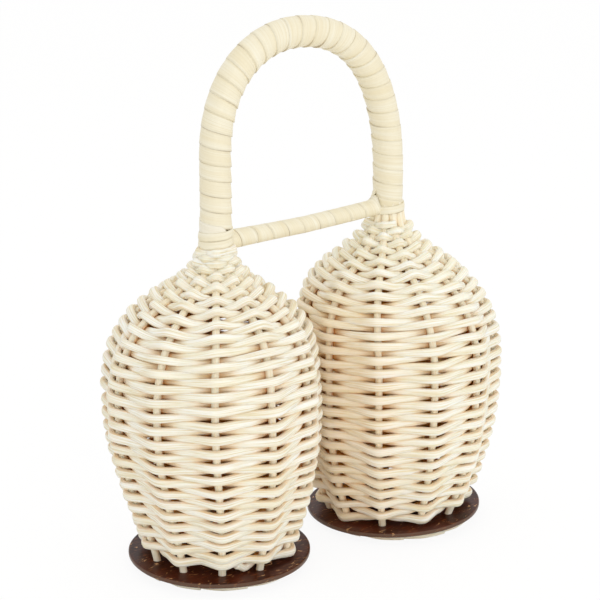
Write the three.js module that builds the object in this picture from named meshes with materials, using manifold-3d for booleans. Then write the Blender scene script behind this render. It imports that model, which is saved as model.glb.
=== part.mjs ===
// A double caxixi: two egg-shaped reed baskets with seeds inside, each woven on a coconut-shell disc,
// joined at their necks by a short cross bar and by an arch handle wrapped in flat cane. As in much
// work done by hand, one basket leans in above its belly and the arch's crown lies off the middle.
// Millimetres, +Z up. The origin is midway between the baskets, on the surface they stand on,
// and the pair runs along X.

import * as THREE from 'three';
import { mergeVertices } from 'three/addons/utils/BufferGeometryUtils.js';
import Module from 'manifold-3d';

// Clearances
const FIT_GAP = 0.3; // between pieces that touch
const TURN_GAP = 0.5; // between the turns of a winding
const ROW_GAP = 0.4; // between the rows of the weave
const COIL_TURN_GAP = 0.65; // between the turns of a neck's coil, which crowd on its hollow side
const COIL_GAP = 0.8; // between the weave and that coil
const BASKET_GAP = 0.8; // between the two bellies

// Stakes, the upright reeds that the baskets are woven on
const STAKE_COUNT = 11; // odd, so that a single weaver changes sides from row to row
const STAKE_DIAMETER = 2.4;
const STAKE_TIP_DIAMETER = 2.0; // shaved thinner towards the neck
const STAKE_SIDES = 5;
const LEFT_TURN = -120.2; // degrees from +X to one stake of the left basket

// Border, where each stake is turned under the disc and runs on beneath its neighbour
const BORDER_SWEEP = 50; // degrees that a turned foot runs round the basket
const BORDER_DROP = 25; // degrees in which it sinks to the ground
const BORDER_FLAT = 0.25; // worn off the underside, so that the basket stands still
const BEND_RADIUS = 1.5; // of the turn below the disc

// Wall of a basket, as the line of its stakes: radius, and height above the disc
const FOOT_RADIUS = 24.8;
const FOOT_FLARE = new THREE.Vector2(3.6, 19); // from the foot to the first handle of its curve
const BELLY_RADIUS = 34.8;
const BELLY_HEIGHT = 58;
const BELLY_DROP = 24; // reach of the belly's curve below and above its widest ring
const BELLY_RISE = 20;
const SHOULDER_RADIUS = 16.2;
const SHOULDER_RISE = 37.0; // above the widest ring
const SHOULDER_SLOPE = 36; // degrees above the horizontal
const SHOULDER_REACH_OUT = 13.5;
const SHOULDER_REACH_IN = 4;
const NECK_RISE = 16.0; // above the shoulder
const NECK_REACH = 9;
const WALL_STEPS = 13;
const NECK_LEAN = 4.5; // how far the right neck leans in towards the left one

// Weavers, the reeds that wind round the stakes
const REED_DEPTH = 2.2; // across the wall
const REED_FRONT = 2.7; // seen height where the reed passes over a stake
const REED_BACK = 1.5; // pressed height where it passes behind one
const WEAVER_COUNT = 4; // lengths of reed in one basket
const FIRST_ROW = 2.6; // along the wall, from the disc to the lowest row
const WEAVE_SPACING = 8.6; // narrower gaps between stakes are coiled over, not woven

// Coconut-shell disc
const DISC_RADIUS = 33;
const DISC_THICKNESS = 1.8;
const DISC_CROWN = 0.6;
const DISC_BEVEL = 0.6;
const DISC_SEGMENTS = 33;
const HOLE_SIDES = 6;

// Handle
const CORE_RADIUS = 4.1;
const CORE_SIDES = 12;
const ARCH_STEPS = 22;
const LEFT_LEG_LENGTH = 24.3; // straight stretches from the stakes' ends up to the arch
const RIGHT_LEG_LENGTH = 9.4;
const ARCH_RISE = 40.1; // of the handle's line, above the left leg
const CROWN_SHIFT = 2.8; // of the crown, from the middle towards the left leg
const LEFT_LEG_REACH = 25.4; // of the arch's curves: up from a leg, and sideways from the crown
const LEFT_CROWN_REACH = 19.2;
const RIGHT_CROWN_REACH = 29.1;
const RIGHT_LEG_REACH = 29.8;
const STRIP_THICKNESS = 0.9;
const WRAP_TURNS = 24;
const WRAP_STEPS = 12; // in one turn
const WRAP_END = 0.6; // bare core at each end of the winding

// Cross bar between the necks, with its own open winding
const BAR_RADIUS = 2.0;
const BAR_DROP = 3.4; // of its axis, below the stakes' ends
const BAR_SIDES = 10;
const BAR_TURNS = 4;
const BAR_WRAP_END = 2.0;
const BAR_WRAP_STEPS = 10;

// Cane binding round the gathered stakes of each neck
const BINDING_TURNS = 2;
const BINDING_WIDTH = 2.2;
const BINDING_STEPS = 16;

// Seeds, loose in the baskets
const SEED_LENGTH = 8.0;
const SEED_WIDTH = 5.6;
const SEED_RING = 10; // radius of the ring that they lie on
const SEED_COUNT = 5;

// Values that follow from the sizes above
const STAKE_RADIUS = STAKE_DIAMETER / 2;
const TIP_RADIUS = STAKE_TIP_DIAMETER / 2;
const STEP_ANGLE = (2 * Math.PI) / STAKE_COUNT;
const SHOULDER_HEIGHT = BELLY_HEIGHT + SHOULDER_RISE;
const NECK_HEIGHT = SHOULDER_HEIGHT + NECK_RISE;
const BORDER_HEIGHT = STAKE_RADIUS - BORDER_FLAT;
const DISC_BOTTOM = BORDER_HEIGHT + STAKE_RADIUS + 2 * FIT_GAP + BORDER_FLAT;
const DISC_TOP = DISC_BOTTOM + DISC_THICKNESS;
const NECK_RADIUS = (STAKE_TIP_DIAMETER + FIT_GAP) / (2 * Math.sin(STEP_ANGLE / 2));
const REED_CLEAR = STAKE_RADIUS + REED_DEPTH / 2 + FIT_GAP;
const ROW_PITCH = (REED_FRONT + REED_BACK) / 2 + ROW_GAP;
const COIL_PITCH = REED_FRONT + COIL_TURN_GAP;
const COIL_OFFSET = REED_CLEAR / Math.cos(STEP_ANGLE / 2);
const BINDING_PITCH = BINDING_WIDTH + TURN_GAP;
const STAKE_TAIL = BINDING_TURNS * BINDING_PITCH + BINDING_WIDTH + 2 * FIT_GAP;
const STAKE_TOP = DISC_TOP + NECK_HEIGHT + STAKE_TAIL;
const CORE_FOOT = STAKE_TOP + FIT_GAP;
const SPIGOT_RADIUS = NECK_RADIUS - TIP_RADIUS - FIT_GAP;
const BINDING_RADIUS = (NECK_RADIUS + TIP_RADIUS + FIT_GAP) / Math.cos(Math.PI / BINDING_STEPS);
const LEG_RADIUS = CORE_RADIUS + FIT_GAP + STRIP_THICKNESS;
const AXIS_OFFSET = BELLY_RADIUS + overOffset(BELLY_RADIUS) + REED_DEPTH / 2 + BASKET_GAP / 2;
const LEFT_NECK = -AXIS_OFFSET;
const RIGHT_NECK = AXIS_OFFSET - NECK_LEAN;
const LEFT_SPRING = CORE_FOOT + LEFT_LEG_LENGTH;
const RIGHT_SPRING = CORE_FOOT + RIGHT_LEG_LENGTH;
const HALF_TURN = 180; // the right basket is woven as the left one, turned about the middle

const reedMaterial = material('#f3e6c8', 0.62);
const shadeReedMaterial = material('#ead3a4', 0.66);
const stripMaterial = material('#f0e2bf', 0.5);
const shellMaterial = material('#45211a', 0.22);
const seedMaterial = material('#8a5a34', 0.55);

const UP = new THREE.Vector3(0, 0, 1);

const wasm = await Module();
wasm.setup();

function material(color, roughness) {
  return new THREE.MeshStandardMaterial({ color, roughness, metalness: 0 });
}

function radians(degrees) {
  return THREE.MathUtils.degToRad(degrees);
}

function polar(radius, angle, z) {
  return new THREE.Vector3(radius * Math.cos(angle), radius * Math.sin(angle), z);
}

// How far outside a stake circle the reed's line has to turn, so that its straight runs,
// which lead behind the two neighbouring stakes, just clear the stake itself.
function overOffset(radius) {
  const inner = radius - REED_CLEAR;
  const dx = inner * Math.cos(STEP_ANGLE) - radius;
  const dy = inner * Math.sin(STEP_ANGLE);
  const clear = REED_CLEAR * REED_CLEAR;
  const a = dy * dy - clear;
  const b = 2 * clear * dx;
  const c = -clear * (dx * dx + dy * dy);
  return (-b + Math.sqrt(b * b - 4 * a * c)) / (2 * a);
}

// A closed skin over a row of rings. Each ring runs counter-clockwise as seen from the far end.
function skin(rings) {
  const sides = rings[0].length;
  const positions = rings.flat().flatMap((point) => point.toArray());
  const index = [];
  for (let ring = 0; ring + 1 < rings.length; ring += 1) {
    for (let side = 0; side < sides; side += 1) {
      const a = ring * sides + side;
      const b = ring * sides + ((side + 1) % sides);
      index.push(a, b, a + sides, b, b + sides, a + sides);
    }
  }
  const last = (rings.length - 1) * sides;
  for (let side = 1; side + 1 < sides; side += 1) {
    index.push(0, side + 1, side);
    index.push(last, last + side, last + side + 1);
  }
  const geometry = new THREE.BufferGeometry();
  geometry.setAttribute('position', new THREE.Float32BufferAttribute(positions, 3));
  geometry.setIndex(index);
  geometry.computeVertexNormals();
  return geometry;
}

// A round rod along a row of points, with its section carried on without twist.
function rod(points, radii, sides, firstNormal) {
  const normal = firstNormal.clone();
  const rings = points.map((point, i) => {
    const along = new THREE.Vector3();
    if (i > 0) along.add(point.clone().sub(points[i - 1]).normalize());
    if (i + 1 < points.length) along.add(points[i + 1].clone().sub(point).normalize());
    along.normalize();
    normal.addScaledVector(along, -normal.dot(along)).normalize();
    const across = along.clone().cross(normal);
    const ring = [];
    for (let side = 0; side < sides; side += 1) {
      const angle = (2 * Math.PI * side) / sides;
      const spoke = normal.clone().multiplyScalar(Math.cos(angle)).addScaledVector(across, Math.sin(angle));
      ring.push(point.clone().addScaledVector(spoke, radii[i]));
    }
    return ring;
  });
  return skin(rings);
}

// The least distance between the turns of a winding, measured between its rings' points.
function leastTurnGap(rings, stepsInTurn) {
  let least = Infinity;
  for (let i = 0; i < rings.length; i += 1) {
    for (let j = i + Math.ceil(stepsInTurn / 2); j < rings.length; j += 1) {
      for (const p of rings[i]) {
        for (const q of rings[j]) least = Math.min(least, p.distanceTo(q));
      }
    }
  }
  return least;
}

function winding(name, rings, stepsInTurn) {
  console.log(`${name}: least gap between turns ${leastTurnGap(rings, stepsInTurn).toFixed(2)} mm`);
  return skin(rings);
}

function solid(geometry) {
  const bare = geometry.clone();
  bare.deleteAttribute('normal');
  bare.deleteAttribute('uv');
  const merged = mergeVertices(bare, 1e-4);
  const vertProperties = new Float32Array(merged.attributes.position.array);
  const triVerts = new Uint32Array(merged.index.array);
  return new wasm.Manifold(new wasm.Mesh({ numProp: 3, vertProperties, triVerts }));
}

function geometryOf(manifold) {
  const mesh = manifold.getMesh();
  const geometry = new THREE.BufferGeometry();
  geometry.setAttribute('position', new THREE.BufferAttribute(mesh.vertProperties, 3));
  geometry.setIndex(new THREE.BufferAttribute(mesh.triVerts, 1));
  geometry.computeVertexNormals();
  return geometry;
}

function named(name, geometry, itsMaterial) {
  const mesh = new THREE.Mesh(geometry, itsMaterial);
  mesh.name = name;
  return mesh;
}

// The wall's line in one half-plane through the basket's axis: x is the radius, y the height.
function wallLine() {
  const slope = radians(SHOULDER_SLOPE);
  const outward = new THREE.Vector2(Math.cos(slope), -Math.sin(slope));
  const line = new THREE.Path();
  line.moveTo(FOOT_RADIUS, 0);
  line.bezierCurveTo(
    FOOT_RADIUS + FOOT_FLARE.x, FOOT_FLARE.y,
    BELLY_RADIUS, BELLY_HEIGHT - BELLY_DROP,
    BELLY_RADIUS, BELLY_HEIGHT,
  );
  line.bezierCurveTo(
    BELLY_RADIUS, BELLY_HEIGHT + BELLY_RISE,
    SHOULDER_RADIUS + outward.x * SHOULDER_REACH_OUT, SHOULDER_HEIGHT + outward.y * SHOULDER_REACH_OUT,
    SHOULDER_RADIUS, SHOULDER_HEIGHT,
  );
  line.bezierCurveTo(
    SHOULDER_RADIUS - outward.x * SHOULDER_REACH_IN, SHOULDER_HEIGHT - outward.y * SHOULDER_REACH_IN,
    NECK_RADIUS, NECK_HEIGHT - NECK_REACH,
    NECK_RADIUS, NECK_HEIGHT,
  );
  return line.getSpacedPoints(WALL_STEPS);
}

// A row of points in that half-plane that can be walked by length, with the outward normal.
class Walk {
  constructor(points) {
    this.points = points;
    this.lengths = [0];
    for (let i = 1; i < points.length; i += 1) {
      this.lengths.push(this.lengths[i - 1] + points[i].distanceTo(points[i - 1]));
    }
    this.length = this.lengths.at(-1);
    this.normals = points.map((point, i) => {
      const before = points[Math.max(i - 1, 0)];
      const after = points[Math.min(i + 1, points.length - 1)];
      const along = after.clone().sub(before).normalize();
      return new THREE.Vector2(along.y, -along.x);
    });
  }

  at(distance) {
    const s = THREE.MathUtils.clamp(distance, 0, this.length);
    let i = 0;
    while (i + 2 < this.points.length && this.lengths[i + 1] < s) i += 1;
    const t = (s - this.lengths[i]) / (this.lengths[i + 1] - this.lengths[i]);
    const point = this.points[i].clone().lerp(this.points[i + 1], t);
    const normal = this.normals[i].clone().lerp(this.normals[i + 1], t).normalize();
    return { point, normal };
  }

  // The distance along the walk at which it reaches a height.
  reach(height) {
    let i = 0;
    while (i + 2 < this.points.length && this.points[i + 1].y < height) i += 1;
    const t = (height - this.points[i].y) / (this.points[i + 1].y - this.points[i].y);
    return THREE.MathUtils.lerp(this.lengths[i], this.lengths[i + 1], t);
  }

  offset(distance) {
    return new Walk(this.points.map((point, i) => point.clone().addScaledVector(this.normals[i], distance)));
  }
}

const wall = new Walk(wallLine());
const coilLine = wall.offset(COIL_OFFSET);

// Where the stakes come too close for weaving: the first place from the top that is wide enough.
function weaveLimit() {
  let s = wall.length;
  while (wall.at(s).point.x * STEP_ANGLE < WEAVE_SPACING) s -= ROW_GAP;
  return s;
}

// Whole rows that fit below that place. The last one climbs faster, by the pitch of the coil above it.
const ROW_COUNT = Math.floor((weaveLimit() - COIL_PITCH - FIRST_ROW) / ROW_PITCH);
const WEAVE_TOP = FIRST_ROW + ROW_COUNT * ROW_PITCH + COIL_PITCH;

// A reed's section on the wall: a lozenge, its long diagonals along and across the wall.
function reedRing(point, normal, angle, height) {
  const centre = polar(point.x, angle, DISC_TOP + point.y);
  const out = polar(normal.x, angle, normal.y);
  const up = polar(-normal.y, angle, normal.x);
  return [
    centre.clone().addScaledVector(up, height / 2),
    centre.clone().addScaledVector(out, REED_DEPTH / 2),
    centre.clone().addScaledVector(up, -height / 2),
    centre.clone().addScaledVector(out, -REED_DEPTH / 2),
  ];
}

// One turning point of the weaver, at stake number step counted from the lowest row.
function weaverRing(step, distance) {
  const { point, normal } = wall.at(distance);
  const over = step % 2 === 0;
  const bend = over ? overOffset(point.x / Math.max(normal.x, Math.SQRT1_2)) : -REED_CLEAR;
  const place = point.clone().addScaledVector(normal, bend);
  return reedRing(place, normal, step * STEP_ANGLE, over ? REED_FRONT : REED_BACK);
}

function between(ringA, ringB, share) {
  return ringA.map((point, i) => point.clone().lerp(ringB[i], share));
}

// The whole weave as one row of rings: the even rows first, then the last one.
function weaveRings() {
  const evenSteps = ROW_COUNT * STAKE_COUNT;
  const rings = [];
  for (let step = 0; step < evenSteps; step += 1) {
    rings.push(weaverRing(step, FIRST_ROW + (step * ROW_PITCH) / STAKE_COUNT));
  }
  for (let step = 0; step <= STAKE_COUNT; step += 1) {
    rings.push(weaverRing(evenSteps + step, WEAVE_TOP - ((STAKE_COUNT - step) * COIL_PITCH) / STAKE_COUNT));
  }
  return rings;
}

const weave = weaveRings();

// The weave cut into lengths of reed, which meet end to end halfway between two stakes.
function weaverGeometries() {
  const spans = weave.length - 1;
  const geometries = [];
  for (let i = 0; i < WEAVER_COUNT; i += 1) {
    const first = Math.floor((spans * i) / WEAVER_COUNT);
    const last = Math.floor((spans * (i + 1)) / WEAVER_COUNT);
    const rings = weave.slice(i === 0 ? 0 : first + 1, last + 1);
    const share = (k) => {
      const span = weave[k][0].distanceTo(weave[k + 1][0]);
      return FIT_GAP / span / 2;
    };
    if (i > 0) rings.unshift(between(weave[first], weave[first + 1], 0.5 + share(first)));
    if (i + 1 < WEAVER_COUNT) rings.push(between(weave[last], weave[last + 1], 0.5 - share(last)));
    geometries.push(skin(rings));
  }
  return geometries;
}

// Plain turns over the gathering stakes, from the end of the weave up to the neck's binding.
function neckCoilRings() {
  const steps = weave.length;
  const climb = COIL_PITCH / STAKE_COUNT;
  const { point, normal } = wall.at(WEAVE_TOP + climb + COIL_GAP);
  const start = coilLine.reach(point.y + COIL_OFFSET * normal.y);
  const rings = [];
  let place = coilLine.at(start);
  while (place.point.y + REED_FRONT / 2 < NECK_HEIGHT) {
    rings.push(reedRing(place.point, place.normal, (steps + rings.length) * STEP_ANGLE, REED_FRONT));
    place = coilLine.at(start + rings.length * climb);
  }
  return rings;
}

// A stake: flat foot, bend, riser through the disc, wall and gathered tail.
function stakeGeometry() {
  const sweep = radians(BORDER_SWEEP);
  const drop = radians(BORDER_DROP);
  const start = DISC_BOTTOM - FIT_GAP - STAKE_RADIUS;
  const drift = (STAKE_DIAMETER + FIT_GAP) / STEP_ANGLE;
  const footAngle = BEND_RADIUS / FOOT_RADIUS;
  const bendInset = BEND_RADIUS * (1 - Math.SQRT1_2);
  const points = [
    polar(FOOT_RADIUS + drift * sweep, sweep, BORDER_HEIGHT),
    polar(FOOT_RADIUS + (drift * (sweep + drop)) / 2, (sweep + drop) / 2, BORDER_HEIGHT),
    polar(FOOT_RADIUS + drift * drop, drop, BORDER_HEIGHT),
    polar(FOOT_RADIUS + drift * footAngle, footAngle, start),
    polar(FOOT_RADIUS, bendInset / FOOT_RADIUS, start + bendInset),
    polar(FOOT_RADIUS, 0, start + BEND_RADIUS),
  ];
  const radii = points.map(() => STAKE_RADIUS);
  wall.points.forEach((point, i) => {
    points.push(polar(point.x, 0, DISC_TOP + point.y));
    radii.push(THREE.MathUtils.lerp(STAKE_RADIUS, TIP_RADIUS, wall.lengths[i] / wall.length));
  });
  points.push(polar(NECK_RADIUS, 0, STAKE_TOP));
  radii.push(TIP_RADIUS);
  const rough = rod(points, radii, STAKE_SIDES, UP);
  const ground = new THREE.BoxGeometry(4 * DISC_RADIUS, 4 * DISC_RADIUS, 2 * STAKE_DIAMETER);
  ground.translate(0, 0, -STAKE_DIAMETER);
  return geometryOf(solid(rough).subtract(solid(ground)));
}

function discGeometry() {
  const profile = [
    new THREE.Vector2(0, DISC_BOTTOM),
    new THREE.Vector2(DISC_RADIUS - DISC_BEVEL, DISC_BOTTOM),
    new THREE.Vector2(DISC_RADIUS, DISC_BOTTOM + DISC_BEVEL),
    new THREE.Vector2(DISC_RADIUS, DISC_TOP - DISC_BEVEL),
    new THREE.Vector2(DISC_RADIUS - DISC_BEVEL, DISC_TOP),
    new THREE.Vector2(FOOT_RADIUS, DISC_TOP),
    new THREE.Vector2(FOOT_RADIUS / 2, DISC_TOP + DISC_CROWN * 0.75),
    new THREE.Vector2(0, DISC_TOP + DISC_CROWN),
  ];
  const disc = new THREE.LatheGeometry(profile, DISC_SEGMENTS);
  disc.rotateX(Math.PI / 2);
  let shell = solid(disc);
  for (let i = 0; i < STAKE_COUNT; i += 1) {
    const hole = new THREE.CylinderGeometry(
      STAKE_RADIUS + FIT_GAP, STAKE_RADIUS + FIT_GAP, 4 * DISC_THICKNESS, HOLE_SIDES,
    );
    hole.rotateX(Math.PI / 2);
    hole.rotateZ(Math.PI / HOLE_SIDES);
    const place = polar(FOOT_RADIUS, i * STEP_ANGLE, DISC_BOTTOM);
    hole.translate(place.x, place.y, place.z);
    shell = shell.subtract(solid(hole));
  }
  return geometryOf(shell);
}

function seedGeometry() {
  const seed = new THREE.SphereGeometry(SEED_WIDTH / 2, 6, 5);
  seed.scale(SEED_LENGTH / SEED_WIDTH, 1, 1);
  return seed;
}

// The handle's line in the plane of both necks, x along X and y along Z: up the left leg, over the
// crown and down the right leg.
function handleLine() {
  const crown = new THREE.Vector2((LEFT_NECK + RIGHT_NECK) / 2 - CROWN_SHIFT, LEFT_SPRING + ARCH_RISE);
  const line = new THREE.Path();
  line.moveTo(LEFT_NECK, CORE_FOOT);
  line.lineTo(LEFT_NECK, LEFT_SPRING);
  line.bezierCurveTo(
    LEFT_NECK, LEFT_SPRING + LEFT_LEG_REACH,
    crown.x - LEFT_CROWN_REACH, crown.y,
    crown.x, crown.y,
  );
  line.bezierCurveTo(
    crown.x + RIGHT_CROWN_REACH, crown.y,
    RIGHT_NECK, RIGHT_SPRING + RIGHT_LEG_REACH,
    RIGHT_NECK, RIGHT_SPRING,
  );
  line.lineTo(RIGHT_NECK, CORE_FOOT);
  return line.getPoints(ARCH_STEPS);
}

const handle = new Walk(handleLine());

// A place on the handle by length from its left foot. Beyond the feet it runs straight on.
function handleAt(distance) {
  const inside = THREE.MathUtils.clamp(distance, 0, handle.length);
  const { point, normal } = handle.at(inside);
  const out = new THREE.Vector3(-normal.x, 0, -normal.y);
  const along = new THREE.Vector3(-normal.y, 0, normal.x);
  const centre = new THREE.Vector3(point.x, 0, point.y).addScaledVector(along, distance - inside);
  return { centre, out };
}

// The least radius to which the handle is bent.
function leastBend() {
  const span = handle.length / ARCH_STEPS;
  let least = Infinity;
  for (let s = span; s < handle.length; s += span) {
    least = Math.min(least, span / handleAt(s).out.angleTo(handleAt(s - span).out));
  }
  return least;
}

function handleSpoke(distance, angle) {
  const { centre, out } = handleAt(distance);
  const spoke = out.multiplyScalar(Math.cos(angle));
  spoke.y -= Math.sin(angle);
  return { centre, spoke };
}

function coreGeometry() {
  const spigot = STAKE_TAIL;
  const arch = handle.length - LEFT_LEG_LENGTH - RIGHT_LEG_LENGTH;
  const distances = [-spigot, 0, 0];
  const radii = [SPIGOT_RADIUS, SPIGOT_RADIUS, CORE_RADIUS];
  for (let i = 0; i <= ARCH_STEPS; i += 1) {
    distances.push(LEFT_LEG_LENGTH + (arch * i) / ARCH_STEPS);
    radii.push(CORE_RADIUS);
  }
  distances.push(handle.length, handle.length, handle.length + spigot);
  radii.push(CORE_RADIUS, SPIGOT_RADIUS, SPIGOT_RADIUS);
  const rings = distances.map((distance, i) => {
    const ring = [];
    for (let side = 0; side < CORE_SIDES; side += 1) {
      const { centre, spoke } = handleSpoke(distance, (2 * Math.PI * side) / CORE_SIDES);
      ring.push(centre.addScaledVector(spoke, radii[i]));
    }
    return ring;
  });
  return skin(rings);
}

// One flat ring of a wrapping strip, as a section that runs along and out from a round bar.
// spokeAt(distance, angle) gives the bar's centre and the direction out of it.
function stripRing(spokeAt, distance, angle, width, radius) {
  const corners = [
    [distance + width / 2, radius],
    [distance + width / 2, radius + STRIP_THICKNESS],
    [distance - width / 2, radius + STRIP_THICKNESS],
    [distance - width / 2, radius],
  ];
  return corners.map(([s, r]) => {
    const { centre, spoke } = spokeAt(s, angle);
    return centre.addScaledVector(spoke, r);
  });
}

// The rings of a whole winding. A left-handed one turns the other way, with its sections turned over.
function stripRings(spokeAt, start, pitch, turns, steps, width, radius, leftHanded = false) {
  const rings = [];
  for (let i = 0; i <= turns * steps; i += 1) {
    const angle = ((leftHanded ? -2 : 2) * Math.PI * i) / steps;
    const ring = stripRing(spokeAt, start + (pitch * i) / steps, angle, width, radius);
    rings.push(leftHanded ? ring.reverse() : ring);
  }
  return rings;
}

function wrapRings() {
  const length = handle.length - 2 * WRAP_END;
  const inside = 1 - LEG_RADIUS / leastBend(); // the turns crowd together on the inside of the arch
  const pitch = length / (WRAP_TURNS + 1);
  const width = pitch - TURN_GAP / inside;
  return stripRings(handleSpoke, WRAP_END + pitch / 2, pitch, WRAP_TURNS, WRAP_STEPS, width,
    CORE_RADIUS + FIT_GAP, true);
}

// The cross bar lies along X between the necks, hollowed at each end to sit against their bindings.
const BAR_Z = STAKE_TOP - BAR_DROP;
const BAR_SEAT = BINDING_RADIUS + STRIP_THICKNESS + FIT_GAP;
const BAR_LENGTH = RIGHT_NECK - LEFT_NECK - 2 * BAR_SEAT;

function barGeometry() {
  const bar = new THREE.CylinderGeometry(BAR_RADIUS, BAR_RADIUS, RIGHT_NECK - LEFT_NECK, BAR_SIDES);
  bar.rotateZ(Math.PI / 2);
  bar.translate((LEFT_NECK + RIGHT_NECK) / 2, 0, BAR_Z);
  let coped = solid(bar);
  for (const axis of [LEFT_NECK, RIGHT_NECK]) {
    const seat = BAR_SEAT / Math.cos(Math.PI / CORE_SIDES);
    const neck = new THREE.CylinderGeometry(seat, seat, 4 * BAR_SEAT, CORE_SIDES);
    neck.rotateX(Math.PI / 2);
    neck.translate(axis, 0, BAR_Z);
    coped = coped.subtract(solid(neck));
  }
  return geometryOf(coped);
}

function barSpoke(distance, angle) {
  const centre = new THREE.Vector3(distance, 0, BAR_Z);
  const spoke = new THREE.Vector3(0, Math.sin(angle), -Math.cos(angle));
  return { centre, spoke };
}

function barWrapRings() {
  const start = LEFT_NECK + BAR_SEAT + BAR_WRAP_END;
  const pitch = (BAR_LENGTH - 2 * BAR_WRAP_END) / (BAR_TURNS + 1);
  const width = pitch - TURN_GAP;
  return stripRings(barSpoke, start + pitch / 2, pitch, BAR_TURNS, BAR_WRAP_STEPS, width,
    BAR_RADIUS + FIT_GAP);
}

function neckSpoke(distance, angle) {
  return { centre: new THREE.Vector3(0, 0, distance), spoke: polar(1, angle, 0) };
}

function bindingRings() {
  const bottom = STAKE_TOP - STAKE_TAIL + FIT_GAP + BINDING_WIDTH / 2;
  return stripRings(neckSpoke, bottom, BINDING_PITCH, BINDING_TURNS, BINDING_STEPS,
    BINDING_WIDTH, BINDING_RADIUS);
}

// How far a basket leans in at a height: not at all up to its belly, and upright again at its neck.
function leanAt(z, lean) {
  return lean * THREE.MathUtils.smoothstep(z, DISC_TOP + BELLY_HEIGHT, DISC_TOP + NECK_HEIGHT);
}

// A basket's place, as the way that its points move from its own axis to where it stands.
function placeOf(x, turn, lean) {
  return (point) => {
    const settled = point.clone().applyAxisAngle(UP, radians(turn));
    settled.x += x - leanAt(point.z, lean);
    return settled;
  };
}

function moved(geometry, place) {
  const settled = geometry.clone();
  const position = settled.attributes.position;
  for (let i = 0; i < position.count; i += 1) {
    const point = place(new THREE.Vector3().fromBufferAttribute(position, i));
    position.setXYZ(i, point.x, point.y, point.z);
  }
  settled.computeVertexNormals();
  return settled;
}

function placedRings(rings, place) {
  return rings.map((ring) => ring.map(place));
}

function basket(side, place) {
  const group = new THREE.Group();
  group.add(named(`base_disc_${side}`, moved(discGeometry(), place), shellMaterial));
  const stake = stakeGeometry();
  for (let i = 0; i < STAKE_COUNT; i += 1) {
    const turned = stake.clone().rotateZ(i * STEP_ANGLE);
    const name = `stake_${side}_${String(i + 1).padStart(2, '0')}`;
    group.add(named(name, moved(turned, place), shadeReedMaterial));
  }
  weaverGeometries().forEach((geometry, i) => {
    group.add(named(`weaver_${side}_${i + 1}`, moved(geometry, place), reedMaterial));
  });
  const coil = winding(`neck coil ${side}`, placedRings(neckCoilRings(), place), STAKE_COUNT);
  group.add(named(`neck_coil_${side}`, coil, reedMaterial));
  const binding = winding(`neck binding ${side}`, placedRings(bindingRings(), place), BINDING_STEPS);
  group.add(named(`neck_binding_${side}`, binding, stripMaterial));
  for (let i = 0; i < SEED_COUNT; i += 1) {
    const angle = (2 * Math.PI * i) / SEED_COUNT;
    const spot = polar(SEED_RING, angle, DISC_TOP + DISC_CROWN + FIT_GAP + SEED_WIDTH / 2);
    const seed = seedGeometry().rotateZ(angle + Math.PI / 2);
    seed.translate(spot.x, spot.y, spot.z);
    group.add(named(`seed_${side}_${i + 1}`, moved(seed, place), seedMaterial));
  }
  return group;
}

const caxixi = new THREE.Group();
caxixi.add(basket('left', placeOf(-AXIS_OFFSET, LEFT_TURN, 0)));
caxixi.add(basket('right', placeOf(AXIS_OFFSET, LEFT_TURN + HALF_TURN, NECK_LEAN)));
caxixi.add(named('handle_core', coreGeometry(), shadeReedMaterial));
caxixi.add(named('handle_wrap', winding('handle wrap', wrapRings(), WRAP_STEPS), stripMaterial));
caxixi.add(named('cross_bar', barGeometry(), shadeReedMaterial));
caxixi.add(named('cross_bar_wrap', winding('cross bar wrap', barWrapRings(), BAR_WRAP_STEPS), stripMaterial));

export default caxixi;
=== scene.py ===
# %% [markdown]
# # A double caxixi in woven reed
#
# A caxixi is a closed basket shaker. This one is a pair: two egg-shaped baskets of round reed, each
# woven on a disc cut from a coconut shell, with seeds inside. Their stakes gather at two necks, which
# are joined by a short cross bar and by an arch handle, both wrapped in flat cane.
#
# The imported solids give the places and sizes. Every reed, strip and disc is made again here with the
# roundness, bends and small faults of work done by hand.

# %% Load the frame
import math

import bmesh
import bpy
import numpy as np
from mathutils import Matrix, Vector
from mathutils.geometry import interpolate_bezier


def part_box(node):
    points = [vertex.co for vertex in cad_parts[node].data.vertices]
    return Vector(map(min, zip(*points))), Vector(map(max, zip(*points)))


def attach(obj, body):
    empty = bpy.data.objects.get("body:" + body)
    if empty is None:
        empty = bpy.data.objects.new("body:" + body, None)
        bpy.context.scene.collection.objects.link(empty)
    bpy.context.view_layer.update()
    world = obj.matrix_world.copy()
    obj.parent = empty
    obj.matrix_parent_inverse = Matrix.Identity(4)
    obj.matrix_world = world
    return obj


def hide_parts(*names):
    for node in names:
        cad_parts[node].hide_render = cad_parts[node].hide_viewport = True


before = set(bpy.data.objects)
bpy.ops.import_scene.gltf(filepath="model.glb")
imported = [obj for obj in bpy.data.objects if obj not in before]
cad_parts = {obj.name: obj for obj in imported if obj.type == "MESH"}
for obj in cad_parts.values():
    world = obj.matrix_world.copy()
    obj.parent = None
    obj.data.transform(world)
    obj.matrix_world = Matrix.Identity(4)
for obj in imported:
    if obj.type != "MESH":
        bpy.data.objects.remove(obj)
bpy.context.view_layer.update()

# %% [markdown]
# ## Places taken from the solids
#
# Lengths are worked out in millimetres, as on a maker's drawing, and turned to metres when a mesh is
# made. The two axes, the discs' lower faces and the handle's crown are read from the solids' boxes, so
# that the fine pieces stay where the solids are. TURN is the direction of each basket's first stake.

# %% Places and sizes
MM = 0.001
BODY = "instrument"
SIDES = {"left": -1, "right": 1}
STAKES = 11
STEP = 2 * math.pi / STAKES
TURN = {"left": math.radians(-120.2), "right": math.radians(59.8)}
DISC_THICKNESS = 1.8


def node_box(node):
    low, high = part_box(node)
    return np.array(low) / MM, np.array(high) / MM


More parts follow.
